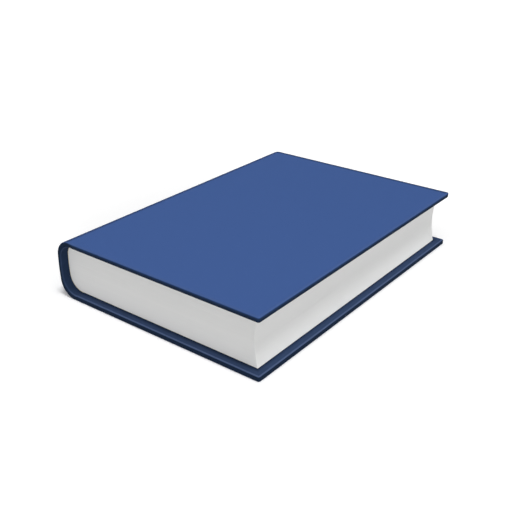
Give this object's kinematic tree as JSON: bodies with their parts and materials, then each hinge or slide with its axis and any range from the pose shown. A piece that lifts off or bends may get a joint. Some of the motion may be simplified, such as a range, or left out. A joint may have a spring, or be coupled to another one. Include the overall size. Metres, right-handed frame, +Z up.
{
  "type": "hardcover book",
  "caption": "Thick case-bound hardcover book in plain blue cloth, with a rounded spine, a hollow fore-edge, overhanging boards and covers that swing open at the joints.",
  "frame": {"origin": "on the surface that the book lies on, under the middle of the closed case", "axes": "+X from the spine to the fore-edge, +Y from the tail to the head, +Z up, from the back cover to the front cover"},
  "size_m": [0.1623, 0.2228, 0.0405],
  "materials": {
    "leaves": "matt trimmed edges",
    "endpaper": "matt, smooth",
    "book_cloth": "fine matt weave",
    "greyboard": "rough, matt",
    "mull": "open gauze on paper"
  },
  "bodies": {
    "book_block": {"text_block": "leaves", "spine_lining": "mull", "spine_inlay": "greyboard", "spine_cloth": "book_cloth"},
    "front_cover": {"front_board": "greyboard", "front_cloth": "book_cloth", "front_pastedown": "endpaper"},
    "back_cover": {"back_board": "greyboard", "back_cloth": "book_cloth", "back_pastedown": "endpaper"}
  },
  "joints": [
    {"name": "front_cover_hinge", "type": "hinge", "parent": "book_block", "child": "front_cover", "pos_m": [-0.06711, 0, 0.04053], "axis": [0, -1, 0], "range_deg": [0, 180]},
    {"name": "back_cover_hinge", "type": "hinge", "parent": "book_block", "child": "back_cover", "pos_m": [-0.06711, 0, -0.00005], "axis": [0, 1, 0], "range_deg": [0, 180]}
  ]
}
